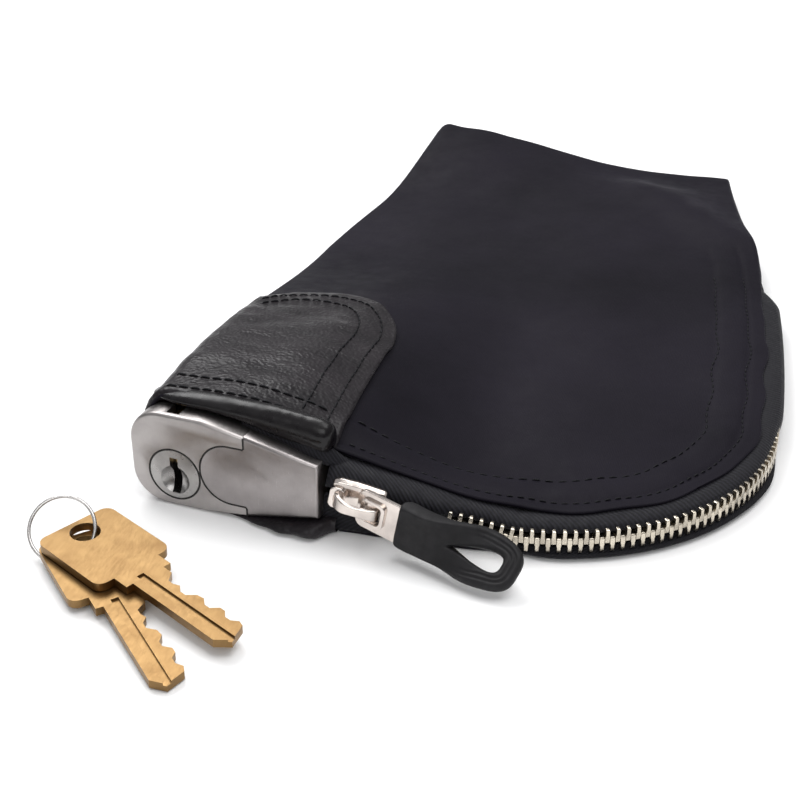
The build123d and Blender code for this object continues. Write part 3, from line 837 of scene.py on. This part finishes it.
def build_upper_patch():
    right, far = patch_edges()
    us = np.linspace(0, 1, 44)
    vs = np.linspace(0, 1, 60)
    y = np.linspace(FRONT + 1.2, far[0][1], 60)
    left = np.stack([left_x(y) + fold_radius(left_x(y), y), y], 1)
    front = spline([left[0], (-58, FRONT + 1.0), (-40, FRONT + 0.6), right[0]], 40)
    plan = coons(front, far, left, right, us, vs)
    rows = walled_rows(plan, patch_height, HIDE)
    rows = tucked_rows(rows[0]) + rows
    verts = [p for row in rows for p in row]
    obj = piece("corner_patch_leather", verts, grid_faces(len(rows), len(rows[0])), "patch_leather", LEATHER,
                ["upper_corner_patch"])
    add_solidify(obj, HIDE)
    for name, shrink in (("patch_stitch_outer", 4.0), ("patch_stitch_inner", 10.2)):
        lower, upper = patch_edges(shrink)
        line = resample(np.vstack([lower[4:], upper[::-1][1:]]), np.linspace(0, 1, 160))
        stitches(name, raised(line, patch_height), *PATCH_THREAD)
    xs = np.linspace(LEFT + 6.5, PATCH_RIGHT - 1.5, 50)
    for name, inset in (("patch_stitch_front", 2.8), ("patch_stitch_front_inner", 9.0)):
        line = np.column_stack([xs, np.full(len(xs), FRONT + inset)])
        stitches(name, raised(line, patch_height), *PATCH_THREAD)


def build_lower_patch():
    """Leather under the lock: a padded fold that fills the gap between the lock and the table."""
    rows = []
    for t in np.linspace(0, 1, 70):
        x = -72.5 + 49.5 * t
        local = x - PLUG[0]
        lock_bottom = 0.1 if local < 8 else 0.1 + (local - 8) * 0.125
        top = max(lock_bottom - 0.3, 0.5) + 0.4 * smooth((x + 34) / 8)
        bulge = 5.0 * smooth((x + 56) / 22) * fall((x + 27.5) / 4.5)
        crease = 0.25 * math.sin(x / 1.1) * smooth((x + 50) / 12)
        front = -125.2 - bulge - 0.07 * (x + 75) + crease + 3.4 * fall((x + 72) / 9)
        rows.append([(x, -92.0, 0.3), (x, -114.0, 0.25), (x, front + 3.0, 0.15), (x, front + 0.9, 0.3),
                     (x, front, 0.45 * top + 0.15), (x, front + 0.5, 0.85 * top), (x, front + 2.0, top),
                     (x, front + 5.0, top + 0.15), (x, -116.5, top + 0.2)])
    verts = [p for row in rows for p in row]
    obj = piece("lower_patch_leather", verts, grid_faces(len(rows), 9), "patch_leather", LEATHER,
                ["lower_corner_patch"])
    smoothing = obj.modifiers.new("smooth", "SUBSURF")
    smoothing.levels = smoothing.render_levels = 1


# ---- zipper's folded end
def build_end_tab():
    """Tape end folded in beside the closed seam: a soft flattened tube that tapers away."""
    line = spline([chain_point(CHAIN_LENGTH - 3, 0.9, 0.0), chain_point(CHAIN_LENGTH + 8, 1.8, 0.2),
                   chain_point(CHAIN_LENGTH + 19, 2.6, 0.3), (66.6, 32.0, 4.7), (64.6, 43.0, 4.6),
                   (61.6, 54.5, 4.4)], 60)
    verts = []
    around = 20
    for i, point in enumerate(line):
        side = across(heading(line, i))[0]
        tall = 2.9 - 0.9 * i / (len(line) - 1) + 0.25 * ripple(i * 0.9, 0, 41, 12)
        deep = 1.3 + 0.2 * ripple(i * 0.9, 9, 42, 10)
        for c, d in circle(around):
            verts.append(point + side * deep * c + UP * tall * squared(d, 0.8))
    piece("zipper_end_fold", verts, tube_faces(len(line), around), "nylon", NYLON, ["zipper_end_tab"])


build_end_tab()
build_upper_panel()
build_lower_panel()
build_hem_stitches()
build_teeth()
build_tapes()
build_upper_patch()
build_lower_patch()


# ---- roll and gusset over the lock
ROLL_LINE = [(-72.6, -112.0, 21.5), (-72.4, -115.6, 23.4), (-70.6, -118.6, 25.0), (-66.0, -119.8, 25.8),
             (-58.0, -120.4, 26.2), (-45.0, -121.6, 26.5), (-34.0, -123.0, 26.3), (-24.2, -124.6, 25.6)]
ROLL_RADIUS = 3.2
GUSSET_THICK = 0.5
GUSSET_ON_LOCK = ((16.5, 5.2, 1.4, 6.0, 25.0), (27, 4.2, 1.2, 5.4, 25.2), (37, 2.8, 0.8, 4.4, 24.8))
GUSSET_ON_CHAIN = ((4.0, 1.2, 5.1, 4.4, 1.2), (12.0, 0.9, 4.6, 4.8, 1.4), (26.0, 0.5, 3.1, 5.0, 1.6))


def build_roll():
    """Rolled leather edge along the front of the upper patch, resting on the lock."""
    line = spline(ROLL_LINE, 150)
    around = 28
    verts = []
    for i, point in enumerate(line):
        side, up = across(heading(line, i))
        upright = (point[2] + ROLL_RADIUS - lock_top((point - PLUG) @ LOCK_X) + 0.1) / 2
        point = point + UP * (ROLL_RADIUS - upright)
        end = (0.10 + 0.90 * smooth((i + 8) / 60)) * (1 - 0.55 * math.exp(-(len(line) - 1 - i) / 2.5))
        for c, d in circle(around):
            crease = 0.03 * ripple(i * 0.37, 3 * d, 31, 3.6) + 0.16 * ripple(i * 0.37, 4 * c, 32, 15)
            radius = (ROLL_RADIUS + crease) * max(end, 0.1)
            verts.append(point + side * radius * 1.05 * c + up * radius * upright / ROLL_RADIUS * d)
    piece("patch_front_roll", verts, tube_faces(len(line), around), "patch_leather", ROLL_LEATHER)


def lock_point(x, depth, z):
    """Point given in the lock's own frame."""
    return PLUG * (1, 1, 0) + LOCK_X * x + LOCK_IN * depth + UP * z


def lock_top(x):
    return float(np.interp(x, [8.0, 19.3, 38.5], [25.6, 23.6, 19.7]))


def build_gusset():
    """Ribbed tape between the lock's sloping top and the roll, running on over the slider."""
    low, high = [], []
    for x, low_depth, drop, high_depth, z in GUSSET_ON_LOCK:
        low.append(lock_point(x, low_depth, lock_top(x) - drop))
        high.append(lock_point(x, high_depth, z))
    for s, low_inset, height, high_inset, drop in GUSSET_ON_CHAIN:
        point = chain_frame(s)[0]
        low.append(chain_point(s, low_inset, height))
        high.append(chain_point(s, high_inset, hem_z(point[0]) - point[2] - drop))
    low, high = spline(low, 90), spline(high, 90)
    verts = []
    for i in range(90):
        sag = 0.3 * math.sin(i / 5.0) + 0.36
        for t in (0.0, 0.35, 0.7, 1.0):
            verts.append(low[i] * (1 - t) + high[i] * t - CHAIN_IN * sag * math.sin(math.pi * t))
    obj = piece("lock_gusset", verts, grid_faces(90, 4), "tape", TAPE)
    add_uv(obj, 4)
    add_solidify(obj, GUSSET_THICK)


# ---- slider and pull
def on_chain(x, y, z):
    return CHAIN_START + CHAIN_X * x + CHAIN_IN * y + CHAIN_UP * z


SLIDER_BEVEL = 0.22
CROWN_BEVEL = 0.28
PULL_SWING = math.radians(-19.0)
PULL_X = CHAIN_X * math.cos(PULL_SWING) + CHAIN_IN * math.sin(PULL_SWING)
PULL_IN = -CHAIN_X * math.sin(PULL_SWING) + CHAIN_IN * math.cos(PULL_SWING)


def on_pull(x, y, z):
    return PULL_PIVOT + PULL_X * x + PULL_IN * y + CHAIN_UP * z


def slider_shell():
    """Folded outer shell: two wings round the chain, open along the tape above and below."""
    section = [(0.55, 4.75), (1.9, 4.75), (2.75, 4.1), (3.0, 3.0), (3.0, 0.0), (3.0, -3.0), (2.75, -4.1),
               (1.9, -4.75), (0.55, -4.75), (0.55, -4.05), (1.7, -4.0), (2.1, -3.4), (2.1, 0.0), (2.1, 3.4),
               (1.7, 4.0), (0.55, 4.05)]
    stations = [(1.4, 0.80), (1.9, 0.88), (3.0, 0.94), (7.0, 0.96), (10.0, 0.92), (12.5, 0.88), (13.8, 0.85),
                (14.3, 0.78)]
    parts = []
    for side in (1, -1):
        verts = [on_chain(x, side * depth * (0.6 + 0.4 * scale), z * scale)
                 for x, scale in stations for depth, z in section]
        parts.append((verts, tube_faces(len(stations), len(section))))
    return joined(parts)


def arch(path, half_width, thick, place):
    """Strap bent along (x, y) points, wider at its ends than in the middle."""
    path = spline([(x, y, 0) for x, y in path], 40)[:, :2]
    verts = []
    for i, (x, y) in enumerate(path):
        ahead = heading(path, i)
        out = np.array([ahead[1], -ahead[0]])
        waist = half_width * (1.0 + 0.22 * math.cos(2 * math.pi * i / (len(path) - 1)))
        for a, b in ((-waist, 0), (-waist * 0.85, thick), (waist * 0.85, thick), (waist, 0)):
            verts.append(place(x + out[0] * b, y + out[1] * b, a))
    return verts, tube_faces(len(path), 4)


def stadium(start_x, length, half, corner, count=64):
    """Rounded rectangle running from start_x, given as (x, z) points anticlockwise."""
    points = []
    centres = [(length - corner, half - corner, 0), (corner, half - corner, 90), (corner, corner - half, 180),
               (length - corner, corner - half, 270)]
    for cx, cz, start in centres:
        for k in range(count // 4):
            angle = math.radians(start + 90 * k / (count // 4 - 1))
            points.append((start_x + cx + corner * math.cos(angle), cz + corner * math.sin(angle)))
    return points


def ring_plate(outer, inner, near, far, place):
    """Flat plate with a hole, between two depths."""
    count = len(outer)
    verts = []
    for loop, depth in ((outer, near), (inner, near), (inner, far), (outer, far)):
        verts += [place(x, depth, z) for x, z in loop]
    return verts, grid_faces(4, count, close_cols=True) + bridge_faces(count, 3 * count, 0)


def build_slider():
    body = piece("slider_shell", *slider_shell(), "slider_metal", SLIDER_METAL, ["slider_body"],
                 "zipper_slider")
    add_bevel(body, SLIDER_BEVEL, 3, 28)
    crown = arch([(3.2, -2.9), (3.4, -4.4), (5.0, -6.1), (7.4, -6.6), (10.0, -6.6), (12.2, -6.2),
                  (13.4, -4.6), (13.6, -2.9)], 1.75, 1.05, on_chain)
    nose = ring_plate(stadium(1.0, 3.6, 2.9, 1.3, 48), stadium(2.2, 1.2, 0.9, 0.5, 48), -3.9, -2.4, on_chain)
    bridge = piece("slider_crown", *joined([crown, nose]), "slider_metal", SLIDER_METAL, ["slider_bridge"],
                   "zipper_slider")
    add_bevel(bridge, CROWN_BEVEL, 3, 28)


def build_pull():
    plate = ring_plate(stadium(-1.5, 14.5, 5.1, 2.2), stadium(0.6, 4.8, 2.6, 1.0), -0.55, 0.55, on_pull)
    rim = ring_plate(stadium(-0.3, 6.6, 3.5, 1.6), stadium(0.7, 4.6, 2.5, 1.0), -1.35, -0.3, on_pull)
    obj = piece("pull_plate", *joined([plate, rim]), "slider_metal", SLIDER_METAL, ["pull_tab"],
                "zipper_pull")
    add_bevel(obj, SLIDER_BEVEL, 3, 30)


SLEEVE = (9.6, 41.2)
SLOT = (23.6, 36.8)
SLEEVE_TWIST = 52
RIB_START = 0.9
RIB_PITCH = 1.15


def along_span(span, c, power):
    """Distance and share along a span, for the cosine of the angle round an outline."""
    share = 0.5 + 0.5 * squared(c, power)
    return span[0] + (span[1] - span[0]) * share, share


def sleeve_outline(c, d):
    """Outline of the sleeve, as seen flat: narrow waist, wide rounded end."""
    x, share = along_span(SLEEVE, c, 0.62)
    width = 6.5 - 0.8 * math.sin(math.pi * min(share / 0.6, 1.0)) + 0.6 * smooth((share - 0.35) / 0.4)
    return np.array([x, width * squared(d, 0.14 if c < 0 else 0.6)])


def slot_outline(c, d):
    """Teardrop slot, pointed towards the slider."""
    x, share = along_span(SLOT, c, 0.8)
    return np.array([x, (0.35 + 3.1 * share) * squared(d, 0.7)])


def sleeve_point(x, width, height):
    """Point of the sleeve after its twist and slight lift towards the free end."""
    share = smooth((x - 14) / 22)
    turn = math.radians(SLEEVE_TWIST) * share
    y = width * math.sin(turn) - height * math.cos(turn)
    z = width * math.cos(turn) + height * math.sin(turn)
    return on_pull(x - 0.02 * x * share, y + 1.8 * share, z + 0.8 + 0.4 * share)


def build_sleeve():
    """Rubber sleeve: flared, twisted to lie flatter at its end, slotted, with moulded ribs round the end."""
    around, rings = 128, 22
    sides = []
    for sign in (1, -1):
        verts = []
        for share in np.linspace(0, 1, rings):
            for c, d in circle(around):
                outer, inner = sleeve_outline(c, d), slot_outline(c, d)
                x, w = outer + (inner - outer) * share
                from_edge = np.linalg.norm(inner - outer) * share
                to_slot = np.linalg.norm(inner - outer) * (1 - share)
                half = 2.15 - 0.75 * smooth((x - 16) / 16)
                half *= math.sqrt(min(1.0, 0.12 + from_edge / 0.9)) * math.sqrt(min(1.0, 0.2 + to_slot / 0.7))
                rib = 0.16 * math.sin(2 * math.pi * max(from_edge - RIB_START, 0) / RIB_PITCH)
                rib *= smooth((x - 24) / 6) * fall((from_edge - 3.4) / 0.4)
                verts.append(sleeve_point(x, w, sign * (half + rib)))
        sides.append(verts)
    sheet = grid_faces(rings, around, close_cols=True)
    verts, faces = joined([(side, sheet) for side in sides])
    for edge in (0, (rings - 1) * around):
        faces += bridge_faces(around, edge, rings * around + edge)
    piece("pull_sleeve_moulding", verts, faces, "sleeve_rubber", RUBBER, ["pull_sleeve"], "zipper_pull")


# ---- lock lines and ring
GROOVE_PROUD = 0.03
PLUG_RADIUS = 6.95
PLUG_LINE_WIDTH = 0.52
SEAM_WIDTH = 0.46
LINE_THICK = 0.02
TONGUE = (15.3, 12.0, 8.15)
SEAM_X = 19.4


def groove_strip(points, width, closed=False):
    """Flat dark strip along (x, z) points just proud of the lock's face."""
    points = np.array(points)
    count = len(points)
    verts = []
    for i, point in enumerate(points):
        along = unit(points[(i + 1) % count] - points[i - 1]) if closed else heading(points, i)
        side = np.array([-along[1], along[0]])
        for sign in (-1, 1):
            x, z = point + side * width / 2 * sign
            verts.append(lock_point(x, -GROOVE_PROUD, z))
    faces = [(2 * i, 2 * i + 1, (2 * i + 3) % (2 * count), (2 * i + 2) % (2 * count))
             for i in range(count if closed else count - 1)]
    return verts, faces


def build_lock_lines():
    """Dark joint lines of the lock's face: round the plug and along the bolt's tongue."""
    rim = [(PLUG_RADIUS * c, PLUG[2] + PLUG_RADIUS * d) for c, d in circle(72)]
    ring = groove_strip(rim, PLUG_LINE_WIDTH, closed=True)
    x, z, radius = TONGUE
    turns = np.linspace(math.pi / 2, 1.5 * math.pi, 37)
    arc = [(x + radius * math.cos(a), z + radius * math.sin(a)) for a in turns]
    seam = ([(SEAM_X, 23.3), (SEAM_X, z + radius + 0.3), (SEAM_X - 0.3, z + radius)] + arc
            + [(SEAM_X - 0.3, z - radius), (SEAM_X, z - radius - 0.3), (SEAM_X, 1.4)])
    lines = joined([ring, groove_strip(seam, SEAM_WIDTH)])
    add_solidify(piece("lock_joint_lines", *lines, "inner_steel", GROOVE), LINE_THICK)


RING_RADIUS = 7.85
RING_WIRE = 0.46
RING_TURN = 12
RING_LEAN = 45


def build_ring():
    """Key ring of thin wire, just over one turn with its ends overlapping."""
    low, high = box_mm("key_ring")
    centre = (low + high) / 2
    turn, lean = math.radians(RING_TURN), math.radians(RING_LEAN)
    level = np.array([math.cos(turn), math.sin(turn), 0])
    sideways = np.array([-math.sin(turn), math.cos(turn), 0])
    upward = sideways * math.sin(lean) + UP * math.cos(lean)
    axle = np.cross(level, upward)
    verts = []
    count, around = 150, 12
    for i in range(count):
        angle = math.radians(-60 + 400 * i / (count - 1))
        radial = level * math.cos(angle) + upward * math.sin(angle)
        middle = centre + radial * RING_RADIUS + axle * (i / (count - 1) - 0.5) * 0.5
        size = RING_WIRE * min(1.0, 0.4 + min(i, count - 1 - i) * 0.3)
        for c, d in circle(around):
            verts.append(middle + radial * size * c + axle * size * d)
    piece("key_ring_wire", verts, tube_faces(count, around), "ring_steel", WIRE, ["key_ring"], "key_ring")


build_roll()
build_gusset()
build_slider()
build_pull()
build_sleeve()
build_lock_lines()
build_ring()


# ---- carried-over CAD pieces
def dress(node, material, bevel=0.0):
    """Gives a CAD part its material and, if asked, a fine bevel."""
    obj = frame["nodes"][node]
    obj.data.materials.clear()
    obj.data.materials.append(material)
    if bevel:
        weld = obj.modifiers.new("weld", "WELD")
        weld.merge_threshold = 0.002 * MM
        add_bevel(obj, bevel, 3, 30).harden_normals = False
        obj.modifiers.new("shading", "WEIGHTED_NORMAL").keep_sharp = True


LOCK_BEVEL = 0.9
CAST_BEVEL = 0.12


def bevelled_lock_part(node, name, body, material):
    """Copy of a lock casting with a broad bevel round its face and a fine one on its other edges."""
    mesh = frame["nodes"][node].data.copy()
    edit = bmesh.new()
    edit.from_mesh(mesh)
    bmesh.ops.remove_doubles(edit, verts=edit.verts, dist=0.003 * MM)
    bmesh.ops.dissolve_limit(edit, angle_limit=math.radians(0.6), verts=edit.verts, edges=edit.edges)
    rim = []
    for edge in edit.edges:
        if len(edge.link_faces) != 2 or edge.calc_face_angle() < math.radians(50):
            continue
        middle = (np.array(edge.verts[0].co) + np.array(edge.verts[1].co)) / 2 / MM
        offset = middle - PLUG * (1, 1, 0)
        x, depth, z = offset @ LOCK_X, offset @ LOCK_IN, offset[2]
        plug_edge = math.hypot(x, z - PLUG[2]) < 8.0
        seam = abs(math.hypot(x - TONGUE[0], z - TONGUE[1]) - TONGUE[2]) < 0.9 or abs(x - SEAM_X) < 0.4
        if depth < 0.1 and not plug_edge and not seam:
            rim.append(edge)
    bmesh.ops.bevel(edit, geom=rim, offset=LOCK_BEVEL * MM, segments=3, profile=0.55, affect="EDGES")
    edit.to_mesh(mesh)
    edit.free()
    add_bevel(add_piece(name, mesh, material, [node], body), CAST_BEVEL, 2, 40)


bevelled_lock_part("lock_housing", "lock_case", "bag", LOCK_METAL)
bevelled_lock_part("lock_bolt", "lock_bolt_casting", "lock_bolt", BOLT_METAL)
dress("lock_plug", PLUG_METAL, 0.12)
dress("key_front", KEY_BRASS, 0.16)
dress("key_rear", KEY_BRASS, 0.16)
for inner in ("lock_back_plate", "lock_rivets", "lock_cam", "plug_clip", "bolt_spring", "pin_springs"):
    dress(inner, INNER_METAL)
for brass_node in ("key_pins", "driver_pins", "pin_chamber_cover"):
    dress(brass_node, BRASS)
dress("bolt_pad", FELT)
dress("zipper_top_stops", TEETH_METAL)
dress("zipper_bottom_stop", TEETH_METAL, 0.2)


# ---- floor, lights, camera
def floor_material():
    m = Shader("floor", (0.93, 0.93, 0.93), 0.75)
    m.color_from(m.noise(6, 2), (0.92, 0.92, 0.92), (0.94, 0.94, 0.94))
    return m.material


def build_stage():
    bpy.ops.mesh.primitive_plane_add(size=6.0, location=(0, 0.6, -0.0002))
    floor = bpy.context.object
    floor.name = "floor"
    floor.data.materials.append(floor_material())


def area_light(name, location, target, size, power):
    data = bpy.data.lights.new(name, "AREA")
    data.shape = "RECTANGLE"
    data.size, data.size_y = size
    data.energy = power
    obj = add_object(name, data)
    obj.location = location
    direction = Vector(target) - Vector(location)
    obj.rotation_euler = direction.to_track_quat("-Z", "Y").to_euler()


def sky():
    """Pale studio surroundings, brighter overhead than at the horizon."""
    world = bpy.data.worlds.new("studio")
    world.use_nodes = True
    tree = world.node_tree
    coords = tree.nodes.new("ShaderNodeTexCoord")
    split = tree.nodes.new("ShaderNodeSeparateXYZ")
    ramp = tree.nodes.new("ShaderNodeValToRGB")
    horizon, overhead = ramp.color_ramp.elements
    horizon.position, horizon.color = 0.0, (0.16, 0.16, 0.165, 1)
    overhead.position, overhead.color = 0.75, (0.62, 0.62, 0.63, 1)
    tree.links.new(coords.outputs["Generated"], split.inputs["Vector"])
    tree.links.new(split.outputs["Z"], ramp.inputs["Fac"])
    tree.links.new(ramp.outputs["Color"], tree.nodes["Background"].inputs["Color"])
    tree.nodes["Background"].inputs["Strength"].default_value = 0.8
    bpy.context.scene.world = world


def build_lights():
    sky()
    area_light("key", (-0.55, 0.45, 0.95), (0, 0, 0), (0.8, 0.6), 9.5)
    area_light("top", (0.3, 0.0, 1.15), (0, 0, 0), (1.0, 0.9), 8)
    area_light("front", (0.05, -1.1, 0.75), (-0.02, -0.1, 0.01), (0.9, 0.5), 3.5)


CAMERA_FROM_PLUG = (133.8, -265.5, 183.5)
CAMERA_HEADING = 16.0
CAMERA_PITCH = 29.1
CAMERA_LENS = 63.0


def build_camera():
    data = bpy.data.cameras.new("camera")
    data.lens = CAMERA_LENS
    data.sensor_width = 36.0
    camera = add_object("camera", data)
    camera.location = Vector((PLUG + np.array(CAMERA_FROM_PLUG)) * MM)
    camera.rotation_euler = (math.radians(90 - CAMERA_PITCH), 0, math.radians(CAMERA_HEADING))
    bpy.context.scene.camera = camera


build_stage()
build_lights()
build_camera()
bpy.context.scene.view_settings.view_transform = "Standard"
